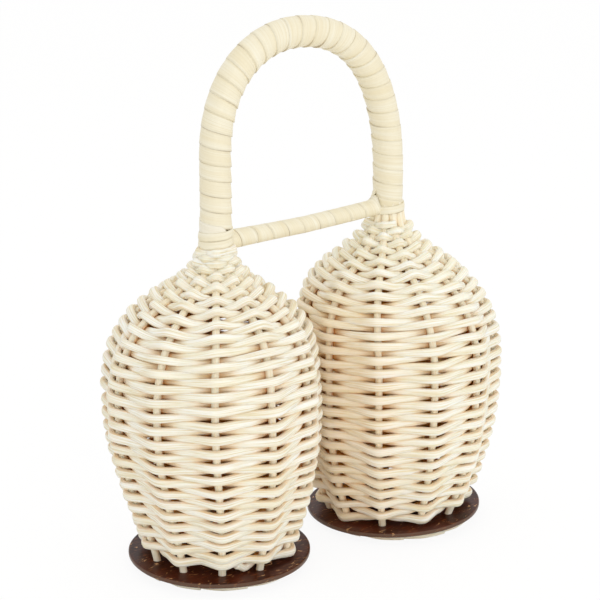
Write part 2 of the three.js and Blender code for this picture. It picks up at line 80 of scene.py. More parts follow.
disc_low, disc_high = node_box("base_disc_right")
bar_low, bar_high = node_box("cross_bar_wrap")
AXIS = (disc_low[0] + disc_high[0]) / 2
DISC_RADIUS = (disc_high[0] - disc_low[0]) / 2
DISC_BOTTOM = disc_low[2]
DISC_TOP = DISC_BOTTOM + DISC_THICKNESS
NECK_X = {side: sum(box[0] for box in node_box(f"neck_binding_{side}")) / 2 for side in SIDES}
STAKE_TOP = node_box("stake_right_01")[1][2]
BAR_Z = (bar_low[2] + bar_high[2]) / 2
HANDLE_TOP = node_box("handle_wrap")[1][2]
print(f"axes at {AXIS:.1f} mm, necks at {NECK_X['left']:.1f} and {NECK_X['right']:.1f} mm")

# %% [markdown]
# ## The camera
#
# The photograph looks at the pair from the front left and a little above, from about 0.7 m. The angles
# and the lens were found by fitting the outlines of discs, baskets and handle.

# %% Camera
YAW = math.radians(-34.5)
ELEVATION = math.radians(16.27)
DISTANCE = 707.6
FOCAL_PIXELS = 1963
IMAGE_PIXELS = 600
LOOK_RIGHT = -3.37
LOOK_HEIGHT = 91.14

right = Vector((math.cos(YAW), math.sin(YAW), 0))
back = Vector((math.sin(YAW) * math.cos(ELEVATION), -math.cos(YAW) * math.cos(ELEVATION),
               math.sin(ELEVATION)))
camera = bpy.data.objects.new("camera", bpy.data.cameras.new("camera"))
bpy.context.scene.collection.objects.link(camera)
camera.data.lens = FOCAL_PIXELS * camera.data.sensor_width / IMAGE_PIXELS
camera.location = MM * (right * LOOK_RIGHT + Vector((0, 0, LOOK_HEIGHT)) + back * DISTANCE)
camera.rotation_euler = back.to_track_quat("Z", "Y").to_euler()
bpy.context.scene.camera = camera
print(f"camera: {camera.data.lens:.0f} mm lens")

# %% [markdown]
# ## Light and floor
#
# The object stands in an even, bright studio: white all round, a lamp from the front left, a broader
# and weaker one from the front right and one above. The floor is white to the camera and keeps a soft
# shadow. The world is white where it is seen and a little weaker where it lights, so that reed of a
# given colour renders about in that colour.


# %% One function for the nodes, one for the colours
def linear(hex_colour):
    values = [int(hex_colour[i:i + 2], 16) / 255 for i in (1, 3, 5)]
    return [v / 12.92 if v <= 0.04045 else ((v + 0.055) / 1.055) ** 2.4 for v in values] + [1.0]


def add(tree, kind, inputs=None, **settings):
    """Adds one node. An input is a value, or the socket that feeds it."""
    made = tree.nodes.new(kind)
    for name, value in settings.items():
        setattr(made, name, value)
    for name, value in (inputs or {}).items():
        if isinstance(value, bpy.types.NodeSocket):
            tree.links.new(value, made.inputs[name])
        else:
            made.inputs[name].default_value = value
    return made


def empty_material(name):
    material = bpy.data.materials.new(name)
    material.use_nodes = True
    material.node_tree.nodes.clear()
    return material, material.node_tree


def seen_directly(tree):
    """1 for rays from the camera, off a gloss or through glass, and 0 for rays that carry light."""
    path = add(tree, "ShaderNodeLightPath")
    seen = path.outputs["Is Camera Ray"]
    for kind in ("Is Glossy Ray", "Is Transmission Ray"):
        seen = add(tree, "ShaderNodeMath", {0: seen, 1: path.outputs[kind]}, operation="MAXIMUM").outputs[0]
    return seen


print("a pale reed in linear light:", [round(value, 2) for value in linear("#FAF8EF")[:3]])

# %% World and lamps
WORLD_STRENGTH = 0.88
LAMP_AIM = Vector((0, 0, 0.09))

scene = bpy.context.scene
scene.view_settings.view_transform = "Standard"
world = bpy.data.worlds.new("studio")
scene.world = world
world.use_nodes = True
tree = world.node_tree
tree.nodes.clear()
strength = add(tree, "ShaderNodeMath", {0: seen_directly(tree), 1: 1 - WORLD_STRENGTH, 2: WORLD_STRENGTH},
               operation="MULTIPLY_ADD")
sky = add(tree, "ShaderNodeBackground", {"Color": (1, 1, 1, 1), "Strength": strength.outputs[0]})
add(tree, "ShaderNodeOutputWorld", {"Surface": sky.outputs[0]})


def lamp(name, place, size, power):
    """A round white lamp that faces the middle of the object; metres and watts."""
    light = bpy.data.lights.new(name, "AREA")
    light.shape = "DISK"
    light.size = size
    light.energy = power
    made = bpy.data.objects.new(name, light)
    scene.collection.objects.link(made)
    made.location = place
    made.rotation_euler = (Vector(place) - LAMP_AIM).to_track_quat("Z", "Y").to_euler()


lamp("right lamp", (0.52, -0.97, 0.24), size=0.9, power=1.3)
lamp("left lamp", (-0.46, -1.06, 0.38), size=0.6, power=2.0)
lamp("top lamp", (0.0, 0.15, 1.1), size=0.8, power=0.8)

# %% Floor
FLOOR_SHADOW = 0.11
FLOOR_GLOW = 1.02
FLOOR_HALF = 4

floor_material, tree = empty_material("white seamless paper")
share = add(tree, "ShaderNodeMath", {0: seen_directly(tree), 1: 1 - FLOOR_SHADOW}, operation="MULTIPLY")
paper = add(tree, "ShaderNodeBsdfDiffuse", {"Color": linear("#F4F3F1")})
glow = add(tree, "ShaderNodeEmission", {"Color": (1, 1, 1, 1), "Strength": FLOOR_GLOW})
mixed = add(tree, "ShaderNodeMixShader", {0: share.outputs[0], 1: paper.outputs[0], 2: glow.outputs[0]})
add(tree, "ShaderNodeOutputMaterial", {"Surface": mixed.outputs[0]})

sheet = bmesh.new()
bmesh.ops.create_grid(sheet, x_segments=1, y_segments=1, size=FLOOR_HALF)
floor_mesh = bpy.data.meshes.new("floor")
sheet.to_mesh(floor_mesh)
sheet.free()
floor = bpy.data.objects.new("floor", floor_mesh)
floor.data.materials.append(floor_material)
scene.collection.objects.link(floor)
print("floor:", floor_material.name)

# %% [markdown]
# ## The finishes
#
# Round reed is the inner core of rattan, drawn through a die. It has no skin, so it is matt and pale,
# with fine pores and fibres along its length and patches that have yellowed. Each reed carries its
# own UV map in metres, along and around, so the fibres follow every bend. A Mapping node gives each
# pattern the size of the real one, which is written in millimetres.


# %% Rattan core
def per_metre(along, across, through=1000):
    """The Mapping scale of a pattern whose cells have these sizes in millimetres."""
    return [1 / (MM * size) for size in (along, across, through)]


def rattan_core(name, pale, deep, warm, shade):
    """Drawn rattan core: fibres 0.45 mm wide, patches some 45 mm long, matt, with painted shade in the weave.
    """
    material, tree = empty_material(name)
    where = add(tree, "ShaderNodeUVMap", uv_map="grain").outputs[0]
    fibre_at = add(tree, "ShaderNodeMapping", {"Vector": where, "Scale": per_metre(14, 0.45)})
    fibres = add(tree, "ShaderNodeTexNoise", {"Vector": fibre_at.outputs[0], "Scale": 1.0, "Detail": 3.0})
    patch_at = add(tree, "ShaderNodeMapping", {"Vector": where, "Scale": per_metre(45, 12)})
    patches = add(tree, "ShaderNodeTexNoise", {"Vector": patch_at.outputs[0], "Scale": 1.0, "Detail": 2.0})
    streak = add(tree, "ShaderNodeMapRange", {
        "Value": fibres.outputs[0], "From Min": 0.42, "From Max": 0.68})
    yellowed = add(tree, "ShaderNodeMapRange", {
        "Value": patches.outputs[0], "From Min": 0.4, "From Max": 0.75})
    # Painted shade: the reed's attribute turns its colour towards the shade colour in the weave's depths.
    painted_shade = add(tree, "ShaderNodeAttribute", attribute_name="painted_shade")
    base = add(tree, "ShaderNodeMix", {
        "Factor": yellowed.outputs[0], 6: linear(pale), 7: linear(warm)}, data_type="RGBA")
    fibred = add(tree, "ShaderNodeMix", {
        "Factor": streak.outputs[0], 6: base.outputs[2], 7: linear(deep)}, data_type="RGBA")
    colour = add(tree, "ShaderNodeMix", {
        "Factor": painted_shade.outputs["Fac"], 6: fibred.outputs[2], 7: linear(shade)}, data_type="RGBA")
    bump = add(tree, "ShaderNodeBump", {"Height": fibres.outputs[0], "Strength": 0.9, "Distance": 0.2 * MM})
    shader = add(tree, "ShaderNodeBsdfPrincipled", {
        "Base Color": colour.outputs[2], "Roughness": 0.7, "Specular IOR Level": 0.25,
        "Normal": bump.outputs[0], "Subsurface Weight": 0.2, "Subsurface Radius": (1.0, 0.8, 0.65),
        "Subsurface Scale": 2 * MM})
    add(tree, "ShaderNodeOutputMaterial", {"Surface": shader.outputs[0]})
    return material


# The last colour of each finish is the painted shade of the weave's depths and creases.
reed_finish = {
    "left": rattan_core("rattan core, pale", "#FAF8EF", "#E3D5B0", "#F4EED6", "#FBB555"),
    "right": rattan_core("rattan core, yellowed", "#FAF9F0", "#E7DBB6", "#F5EFD8", "#FBB555"),
}
stake_finish = rattan_core("rattan core, stakes", "#FCF5E2", "#F2E3C3", "#F8EBCE", "#FBB555")
print("reed:", [finish.name for finish in (*reed_finish.values(), stake_finish)])

# %% [markdown]
# Flat cane is the split skin of the same palm: smoother, a little glossy, with straight fibres along
# the strip. Shade is painted in places along its lower edge, which draws the thin dark lines on the handle.


# %% Flat cane
def flat_cane(name, pale, deep, warm, seam_shade):
    """Split cane: fibres 0.35 mm wide along the strip, painted shade on its edge up to 0.4 mm wide, satin
    skin.
    """
    material, tree = empty_material(name)
    where = add(tree, "ShaderNodeUVMap", uv_map="grain").outputs[0]
    fibre_at = add(tree, "ShaderNodeMapping", {"Vector": where, "Scale": per_metre(30, 0.35)})
    fibres = add(tree, "ShaderNodeTexNoise", {"Vector": fibre_at.outputs[0], "Scale": 1.0, "Detail": 3.0})
    patch_at = add(tree, "ShaderNodeMapping", {"Vector": where, "Scale": per_metre(28, 4)})
    patches = add(tree, "ShaderNodeTexNoise", {"Vector": patch_at.outputs[0], "Scale": 1.0, "Detail": 2.0})
    streak = add(tree, "ShaderNodeMapRange", {
        "Value": fibres.outputs[0], "From Min": 0.4, "From Max": 0.8})
    yellowed = add(tree, "ShaderNodeMapRange", {
        "Value": patches.outputs[0], "From Min": 0.35, "From Max": 0.7})
    across = add(tree, "ShaderNodeSeparateXYZ", {0: where}).outputs["Y"]
    # Painted shade of the gaps between turns: a dark line along the strip's lower edge, in patches.
    edge = add(tree, "ShaderNodeMapRange", {"Value": across, "From Min": 0.4 * MM, "From Max": 0.1 * MM})
    seam_shade_patches_at = add(tree, "ShaderNodeMapping", {"Vector": where, "Scale": per_metre(16, math.inf)})
    seam_shade_patches = add(tree, "ShaderNodeTexNoise", {"Vector": seam_shade_patches_at.outputs[0], "Scale": 1.0, "Detail": 1.0})
    seam_shade_patches = add(tree, "ShaderNodeMapRange", {"Value": seam_shade_patches.outputs[0], "From Min": 0.48, "From Max": 0.78})
    seam_shade_mask = add(tree, "ShaderNodeMath", {0: edge.outputs[0], 1: seam_shade_patches.outputs[0]}, operation="MULTIPLY")
    base = add(tree, "ShaderNodeMix", {
        "Factor": yellowed.outputs[0], 6: linear(pale), 7: linear(warm)}, data_type="RGBA")
    fibred = add(tree, "ShaderNodeMix", {
        "Factor": streak.outputs[0], 6: base.outputs[2], 7: linear(deep)}, data_type="RGBA")
    colour = add(tree, "ShaderNodeMix", {
        "Factor": seam_shade_mask.outputs[0], 6: fibred.outputs[2], 7: linear(seam_shade)}, data_type="RGBA")
    bump = add(tree, "ShaderNodeBump", {"Height": fibres.outputs[0], "Strength": 0.35, "Distance": 0.1 * MM})
    shader = add(tree, "ShaderNodeBsdfPrincipled", {
        "Base Color": colour.outputs[2], "Roughness": 0.45, "IOR": 1.45, "Normal": bump.outputs[0]})
    add(tree, "ShaderNodeOutputMaterial", {"Surface": shader.outputs[0]})
    return material


# The last colour is the painted shade of the gaps between turns.
strip_finish = flat_cane("split cane", "#F2ECD7", "#E6DAB8", "#ECE1C2", "#967B55")
end_finish = flat_cane("split cane, inner face", "#F2EDDD", "#E9E0C8", "#EFE8D4", "#967B55")
print("cane:", strip_finish.name, "and", end_finish.name)

# %% [markdown]
# Coconut shell is hard and nearly black-brown. Sanded and polished, it shows short lighter fibres and
# a clear gloss. The seeds have a dry, mottled coat.


# %% Coconut shell and seeds
def coconut_shell(name):
    """Coconut shell: fibres 0.6 by 4 mm, clouds 12 mm wide, pale chips 2 to 5 mm long, a greyer rim of
    painted sheen and paler sawn edge.
    """
    material, tree = empty_material(name)
    where = add(tree, "ShaderNodeTexCoord").outputs["Object"]
    fibre_at = add(tree, "ShaderNodeMapping", {"Vector": where, "Scale": per_metre(4, 0.6, 0.8)})
    fibres = add(tree, "ShaderNodeTexNoise", {"Vector": fibre_at.outputs[0], "Scale": 1.0, "Detail": 4.0})
    clouds = add(tree, "ShaderNodeTexNoise", {"Vector": where, "Scale": 1 / (12 * MM), "Detail": 3.0})
    chip_at = add(tree, "ShaderNodeMapping", {"Vector": where, "Scale": per_metre(4.8, 2.2, 2.2)})
    chips = add(tree, "ShaderNodeTexNoise", {
        "Vector": chip_at.outputs[0], "Scale": 1.0, "Detail": 2.0, "Distortion": 1.5})
    cloud = add(tree, "ShaderNodeMapRange", {"Value": clouds.outputs[0], "From Min": 0.35, "From Max": 0.7})
    fleck = add(tree, "ShaderNodeMapRange", {"Value": fibres.outputs[0], "From Min": 0.58, "From Max": 0.78})
    chip = add(tree, "ShaderNodeMapRange", {"Value": chips.outputs[0], "From Min": 0.65, "From Max": 0.69})
    normal = add(tree, "ShaderNodeNewGeometry").outputs["True Normal"]
    facing = add(tree, "ShaderNodeSeparateXYZ", {0: normal})
    upright = add(tree, "ShaderNodeMath", {0: facing.outputs["Z"]}, operation="ABSOLUTE")
    # Painted sheen, and partly a paler sawn edge: the tilted faces of the rim turn grey.
    sheen_and_sawn_rim = add(tree, "ShaderNodeMapRange", {
        "Value": upright.outputs[0], "From Min": 0.98, "From Max": 0.5, "To Max": 0.7})
    colour = add(tree, "ShaderNodeMix", {
        "Factor": cloud.outputs[0], 6: linear("#2E1108"), 7: linear("#552413")}, data_type="RGBA")
    for mask, tint in ((fleck, "#A3602F"), (chip, "#CF9C68"), (sheen_and_sawn_rim, "#6E5748")):
        colour = add(tree, "ShaderNodeMix", {
            "Factor": mask.outputs[0], 6: colour.outputs[2], 7: linear(tint)}, data_type="RGBA")
    bump = add(tree, "ShaderNodeBump", {"Height": fibres.outputs[0], "Strength": 0.2, "Distance": 0.1 * MM})
    shader = add(tree, "ShaderNodeBsdfPrincipled", {
        "Base Color": colour.outputs[2], "Roughness": 0.3, "IOR": 1.5, "Specular IOR Level": 0.12,
        "Normal": bump.outputs[0]})
    add(tree, "ShaderNodeOutputMaterial", {"Surface": shader.outputs[0]})
    return material


def dry_seed(name):
    """A dried seed coat: brown, mottled at about 1 mm, half glossy."""
    material, tree = empty_material(name)
    where = add(tree, "ShaderNodeTexCoord").outputs["Object"]
    mottle = add(tree, "ShaderNodeTexNoise", {"Vector": where, "Scale": 1 / (1.2 * MM), "Detail": 3.0})
    colour = add(tree, "ShaderNodeMix", {
        "Factor": mottle.outputs[0], 6: linear("#6E4124"), 7: linear("#A9743F")}, data_type="RGBA")
    shader = add(tree, "ShaderNodeBsdfPrincipled", {
        "Base Color": colour.outputs[2], "Roughness": 0.4, "IOR": 1.45})
    add(tree, "ShaderNodeOutputMaterial", {"Surface": shader.outputs[0]})
    return material


shell_finish = coconut_shell("coconut shell, polished")
seed_finish = dry_seed("dried seed coat")
print("shell and seed:", shell_finish.name, "and", seed_finish.name)

# %% [markdown]
# ## Reeds and strips from rolled grids
#
# A reed is a long sheet rolled into a tube, and a cane strip is the sheet itself. So each starts as a
# grid of size 1, whose cells already form the faces and the UV map. The grid's corners are then laid
# on rings along the reed's line, the long seam is merged and the two ends are closed.


# %% From a shape to a piece
def hand_over(piece, finish, slot, *nodes, body=BODY):
    """Gives a piece its finish and its body, and hides the solids that it stands for."""
    piece.data.materials.append(finish)
    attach(piece, body)
    if nodes:
        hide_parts(*nodes)
    return piece


def as_piece(name, shape):
    mesh = bpy.data.meshes.new(name)
    shape.to_mesh(mesh)
    shape.free()
    piece = bpy.data.objects.new(name, mesh)
    scene.collection.objects.link(piece)
    return piece


print("pieces ride on:", BODY)

# %% A grid laid on rings
# The two edges of a tube's seam lie this close, in metres.
SEAM = 1e-7


def rolled(name, rings, tube=True, painted_shade=None):
    """rings[i, j] is corner j of ring i, in millimetres. A tube is closed; a strip stays open."""
    count, corners = rings.shape[:2]
    across = corners if tube else corners - 1
    length = MM * np.linalg.norm(np.diff(rings.mean(axis=1), axis=0), axis=1).sum()
    girth = MM * np.linalg.norm(np.diff(rings[count // 2], axis=0), axis=1).sum()
    shape = bmesh.new()
    grain = shape.loops.layers.uv.new("grain")
    # Each corner carries an amount of painted shade, which the finish reads.
    depth = shape.verts.layers.float.new("painted_shade")
    bmesh.ops.create_grid(shape, x_segments=count - 1, y_segments=across, size=0.5)
    for face in shape.faces:
        face.smooth = True
        for loop in face.loops:
            loop[grain].uv = ((loop.vert.co.x + 0.5) * length, (loop.vert.co.y + 0.5) * girth)
    for vert in shape.verts:
        i = round((vert.co.x + 0.5) * (count - 1))
        j = round((vert.co.y + 0.5) * across) % corners
        vert.co = MM * rings[i, j]
        vert[depth] = 0 if painted_shade is None else painted_shade[i, j]
    if tube:
        bmesh.ops.remove_doubles(shape, verts=shape.verts[:], dist=SEAM)
        bmesh.ops.holes_fill(shape, edges=shape.edges[:], sides=corners)
        bmesh.ops.recalc_face_normals(shape, faces=shape.faces[:])
    return as_piece(name, shape)


def unit(vectors):
    return vectors / np.linalg.norm(vectors, axis=-1, keepdims=True)


def carried_rings(line, radii, corners, first):
    """Round rings along a line, with the first direction carried on without twist."""
    along = unit(np.gradient(line, axis=0))
    spoke = np.array(first, float)
    turn = np.linspace(0, 2 * math.pi, corners, endpoint=False)
    rings = np.empty((len(line), corners, 3))
    for i, (point, way) in enumerate(zip(line, along)):
        spoke = unit(spoke - way * spoke.dot(way))
        other = np.cross(way, spoke)
        rings[i] = point + radii[i] * (np.outer(np.cos(turn), spoke) + np.outer(np.sin(turn), other))
    return rings


print("seam:", SEAM, "m")

# %% [markdown]
# ## The shape of a basket
#
# The stakes of a basket follow one line in every half-plane through its axis: a narrow foot, a full
# belly and a shoulder that sweeps up into the neck. Three Bezier pieces draw it, as radius and height
# above the disc. The right basket is a little fuller above its foot and at its shoulder.

# %% The walls' lines
FOOT_RADIUS = 24.8
BELLY_HEIGHT = 58.0
NECK_HEIGHT = 111.0
NECK_RADIUS = 3.8
WALL_POINTS = 50
LOWER = {
    "left": ((FOOT_RADIUS, 0), (28.9, 19), (36.9, 33), (35.9, BELLY_HEIGHT)),
    "right": ((FOOT_RADIUS, 0), (30.6, 14.5), (36.6, 33), (35.7, BELLY_HEIGHT)),
}
UPPER = {
    "left": ((35.9, BELLY_HEIGHT), (36.0, 79.0), (29.8, 88.2), (17.0, 95.4)),
    "right": ((35.7, BELLY_HEIGHT), (36.2, 80.0), (29.8, 88.4), (18.3, 96.3)),
}
SWEEP = {
    "left": ((17.0, 95.4), (12.6, 98.4), (4.1, 104), (4.1, NECK_HEIGHT)),
    "right": ((18.3, 96.3), (14.6, 98.9), (6.4, 105), (5.0, NECK_HEIGHT + 1)),
}


class Wall:
    """The line of a basket's stakes, as radius and height above the disc."""

    def __init__(self, *curves):
        line = [(FOOT_RADIUS, 0.0)]
        for curve in curves:
            line += [tuple(p) for p in interpolate_bezier(*(Vector(q) for q in curve), WALL_POINTS)[1:]]
        self.line = np.array(line + [(NECK_RADIUS, STAKE_TOP - DISC_TOP)])
        self.s = np.concatenate([[0], np.cumsum(np.linalg.norm(np.diff(self.line, axis=0), axis=1))])
        self.along = unit(np.gradient(self.line, axis=0))
        self.length = self.s[-1]

    def at(self, s):
        """The place on the line and the outward normal, at a distance along the wall."""
        place = np.stack([np.interp(s, self.s, self.line[:, k]) for k in (0, 1)], axis=-1)
        along = unit(np.stack([np.interp(s, self.s, self.along[:, k]) for k in (0, 1)], axis=-1))
        return place, np.stack([along[..., 1], -along[..., 0]], axis=-1)

    def depth(self, radius, height):
        """How far points stand out of the wall, along its normal."""
        out = radius - np.interp(height, self.line[:, 1], self.line[:, 0])
        return out * np.interp(height, self.line[:, 1], self.along[:, 1])


def direction(pair, angle):
    """Turns (radius, height) and an angle into x, y and z."""
    return np.stack([pair[..., 0] * np.cos(angle), pair[..., 0] * np.sin(angle), pair[..., 1]], axis=-1)


def around(place, angle):
    """Turns (radius, height above the disc) and an angle into points."""
    return direction(place, angle) + np.array([0, 0, DISC_TOP])


walls = {side: Wall(LOWER[side], UPPER[side], SWEEP[side]) for side in SIDES}
print("walls:", {side: round(float(wall.length), 1) for side, wall in walls.items()}, "mm from disc to neck")

# %% [markdown]
# Both baskets are a little out of true, as hand-woven ones are. The left one bulges to its outer side,
# the right one's disc isn't level, and both necks lean to where the handle holds them. One helper bends
# everything that belongs to a basket.

# %% Out of true
BULGE = {"left": -2.5, "right": 0.0}
BULGE_TOP = 125.0
BULGE_CURVE = 2.5
TILT = {"left": 0.0, "right": 1.1}
TILT_TOWARDS = YAW
BORDER_TOP = 2.7


def tilted(points, side):
    """Tips what is near a disc that isn't level. The border below it and the belly above it stay."""
    run = points[..., 0] * math.cos(TILT_TOWARDS) + points[..., 1] * math.sin(TILT_TOWARDS)
    share = np.interp(points[..., 2], [BORDER_TOP, DISC_BOTTOM, DISC_TOP, DISC_TOP + BELLY_HEIGHT],
                      [0, 1, 1, 0])
    moved = points.copy()
    moved[..., 2] += TILT[side] * run / DISC_RADIUS * share
    return moved


def settled(points, side):
    """Moves a basket's points from its own axis to its place, with its bulge and the lean of its neck."""
    moved = tilted(points, side)
    height = moved[..., 2] - DISC_TOP
    above = np.clip((height - BELLY_HEIGHT) / (NECK_HEIGHT - BELLY_HEIGHT), 0, 1)
    lean = (NECK_X[side] - SIDES[side] * AXIS) * above * above * (3 - 2 * above)
    swell = np.sin(math.pi * np.clip(height / BULGE_TOP, 0, 1)) ** BULGE_CURVE
    moved[..., 0] += SIDES[side] * AXIS + BULGE[side] * swell + lean
    return moved


print("bulge:", BULGE, "mm, tilt:", TILT, "mm at the rim")

# %% [markdown]
# Shade is painted into the reeds: they are browner deep in the wall and in the creases between two
# rows, where shade falls. The right basket is painted darker on the side that faces the left one, which
# shades it. Each reed carries this painted shade as an attribute on its corners, which its finish reads.

# %% Painted shade on the reeds
# How far into the wall the painted shade starts, how deep it grows, and its curve.
PAINTED_SHADE_FROM = 0.8
PAINTED_SHADE_DEPTH = 3.0
PAINTED_SHADE_CURVE = 1.3
# Painted shade on the right basket's side that faces the left one, which shades it, below a height.
INNER_SHADE = {"left": 0.0, "right": 0.26}
INNER_SHADE_TOP = 100
INNER_SHADE_FADE = 30
# Painted shade in the creases, less of it up on the open shoulder.
CREASE_SHADE_HEIGHTS = [50, 90]
CREASE_SHADE_SHARES = [1, 0.3]


def painted_shade_of(rings, side):
    """Painted shade: 0 on the open outside, up to 1 deep in the wall, and a little more on the inner side."""
    radius = np.hypot(rings[..., 0], rings[..., 1])
    height = rings[..., 2] - DISC_TOP
    deep = np.clip((PAINTED_SHADE_FROM - walls[side].depth(radius, height)) / PAINTED_SHADE_DEPTH, 0, 1)
    inward = np.clip(-SIDES[side] * rings[..., 0] / radius, 0, 1)
    low = np.clip((INNER_SHADE_TOP - height) / INNER_SHADE_FADE, 0, 1)
    return deep ** PAINTED_SHADE_CURVE + INNER_SHADE[side] * low * inward ** 2


def basket_reed(name, rings, side, crease_shade=0):
    """A reed in its place, with painted shade; its creases get less of it on the open shoulder."""
    fade = np.interp(rings[..., 2] - DISC_TOP, CREASE_SHADE_HEIGHTS, CREASE_SHADE_SHARES)
    return rolled(name, settled(rings, side), painted_shade=np.maximum(painted_shade_of(rings, side), crease_shade * fade))


print("inner shade:", INNER_SHADE)

# %% [markdown]
# ## The weave
#
# One reed winds up the basket, over one stake and under the next. With an odd number of stakes it
# changes sides from row to row. The rows are counted in crossings, eleven to a row, and lie closer or
# wider apart as the weaver beat them down.

# %% Rows
FIRST_ROW = {"left": 2.4, "right": 1.8}
PITCH_AT = [0, 7, 14, 52, 60, 74, 80, 90, 97, 108, 114, 124]
PITCH = {
    "left": [3.3, 3.0, 2.36, 2.36, 2.46, 2.40, 2.2, 2.3, 2.75, 2.8, 2.5, 2.3],
    "right": [3.0, 3.2, 2.36, 2.36, 2.40, 2.35, 2.25, 2.25, 2.5, 2.75, 2.75, 2.5],
}
WEAVE_TOP = {"left": 112.0, "right": 110.6}

row_s = {}
last_step = {}
for side, wall in walls.items():
    rows = [FIRST_ROW[side]]
    while rows[-1] < wall.length:
        rows.append(rows[-1] + np.interp(rows[-1], PITCH_AT, PITCH[side]) / STAKES)
    row_s[side] = np.array(rows)
    last_step[side] = int(np.searchsorted(rows, np.interp(WEAVE_TOP[side], wall.line[:, 1], wall.s)))
print("rows:", {side: round(step / STAKES, 1) for side, step in last_step.items()})

# %% [markdown]
# The reed's line could be drawn as a curve with a round bevel, but a real reed is pressed thin between
# two stakes and stands full over a stake, so its rings are worked out: the line swings in and out of
# the wall, and the section swells and thins along it. Seeded chance makes each crossing a little
# higher, deeper or thicker than the next.

# %% The swing of a reed
STAKE_RADIUS = 1.35
STAKE_TIP_RADIUS = {"left": 1.2, "right": 1.6}
STAKE_TAPER_FROM = 0.9
BEND = 0.07
SWING_CURVE = 1.5
DOUBLE_OVER = 11
WAVES = [(0.55, 2, 0.05, 0.6), (0.4, 3, -0.07, 0), (0.25, 5, 0.11, 0)]
WAVES_FROM = 4
WAVES_TO = 118
WAVES_FADE = 14


def stake_radius(s, side):
    length = walls[side].length
    return np.interp(s, [STAKE_TAPER_FROM * length, length], [STAKE_RADIUS, STAKE_TIP_RADIUS[side]])


def drift(angle, s):
    """Rows beaten down unevenly: a slow wave that neighbouring rows share."""
    wave = sum(size * np.sin(turns * angle + climb * s + start) for size, turns, climb, start in WAVES)
    rise = np.clip((s - WAVES_FROM) / WAVES_FADE, 0, 1)
    return wave * rise * np.clip((WAVES_TO - s) / WAVES_FADE, 0, 1)


def over(step):
    """1 where a crossing passes outside its stake, -1 inside; one odd crossing is woven wrong."""
    return np.where((step % 2 == 0) | (step == DOUBLE_OVER), 1.0, -1.0)


def swing(q):
    """How far out of the wall the reed is at crossing q, with its quickest change between two stakes."""
    step = np.floor(q).astype(int)
    u = q - step
    nearest = np.where(u < 0.5, over(step), over(step + 1))
    away = np.hypot(np.minimum(u, 1 - u), BEND) - (math.hypot(0.5, BEND) - 0.5)
    return nearest * ((1 - 2 * away) / (2 * math.hypot(0.5, BEND) - 2 * BEND)) ** SWING_CURVE


print("swing over, between and under a stake:", swing(np.array([0, 0.25, 0.5, 0.75, 1.0])).round(2))

# %% The rings of a reed
GAP_STEPS = 18
REED_CORNERS = 14
# The pressed section, which is taller over a stake, and its taper towards the neck.
REED_HALF_DEPTH = 1.25
REED_HALF_HEIGHT = 1.38
REED_SWELL = 0.17
REED_FLATNESS = 0.58
THIN_FROM = 100
THIN_END = 0.9
# The reed is pressed on to the stakes and draws straight between them, inside the round of the wall.
SNUG = 0.05
SAG = 0.35
# Near the axis there is no room inside the stakes, so the swing shrinks.
TIGHT_RADIUS = 4.6
LOOSE_OVER = 3.0
LEAST_SWING = 0.25
# The first end: places in crossings, and the rise above the first row there.
START_AT = [0.3, 0.55, 1.0, 1.6]
START_RISE = {"left": [1.9, -0.9, 0.9, 0.0], "right": [1.9, -0.3, 0.6, 0.0]}
# The number that starts each basket's random draws, and how much each draw counts.
CHANCE = {"left": 7, "right": 11}
CHANCE_HEIGHT = 0.2
CHANCE_DEPTH = 0.15
CHANCE_GIRTH = 0.04
SLOW_GIRTH = 0.05
SLOW_STEPS = 6


def weaver_rings(side, first, last):
    """Rings of the reed from one crossing to another; even crossings pass outside the stake."""
    noise = np.random.default_rng(CHANCE[side]).normal(size=(4, len(row_s[side])))
    q = np.linspace(first, last, int((last - first) * GAP_STEPS) + 1)
    u = q - np.floor(q)
    crossing = np.arange(len(row_s[side]))
    shift, press, girth = (np.interp(q, crossing, row) for row in noise[:3])
    slow = np.interp(q / SLOW_STEPS, crossing, noise[3])
    angle = TURN[side] + q * STEP
    s = np.interp(q, crossing, row_s[side])
    s += drift(angle, s) + CHANCE_HEIGHT * shift + np.interp(q, START_AT, START_RISE[side])
    place, normal = walls[side].at(s)
    free = np.clip((place[:, 0] - TIGHT_RADIUS) / LOOSE_OVER, LEAST_SWING, 1)
    thin = np.interp(s, [THIN_FROM, walls[side].length], [1.0, THIN_END])
    reach = stake_radius(s, side) + REED_HALF_DEPTH * thin - SNUG
    sag = SAG * place[:, 0] * (1 - math.cos(STEP / 2)) * np.sin(math.pi * u) ** 2
    offset = reach * (free * swing(q) + (1 - free)) - free * sag + CHANCE_DEPTH * press
    line = around(place + normal * offset[:, None], angle)
    up = direction(np.stack([-normal[:, 1], normal[:, 0]], axis=-1), angle)
    along = unit(np.gradient(line, axis=0))
    out = unit(np.cross(along, up))
    up = np.cross(out, along)
    size = thin * (1 + CHANCE_GIRTH * girth + SLOW_GIRTH * slow)
    half_height = size * (REED_HALF_HEIGHT + REED_SWELL * np.cos(math.pi * u) ** 2)
    half_depth = size * REED_HALF_DEPTH
    turn = np.linspace(0, 2 * math.pi, REED_CORNERS, endpoint=False)
    flat = np.sign(np.cos(turn)) * np.abs(np.cos(turn)) ** REED_FLATNESS
    rings = line[:, None] + (half_depth[:, None] * flat)[..., None] * out[:, None]
    return rings + (half_height[:, None] * np.sin(turn))[..., None] * up[:, None]


print("rings to a row:", GAP_STEPS * STAKES)

# %% [markdown]
# A basket takes four lengths of reed, and a fifth that coils round the gathering stakes at the neck.
# Where one length ends the next begins, behind a stake.

# %% Weavers and neck coils
FIRST_END = 0.32
END_GAP = 0.02
CUTS = [31, 58, 85, 108]
# Painted shade in the creases, along the upper and lower edges of each reed.
CREASE_SHADE = 0.3
CREASE_SHADE_POWER = 8

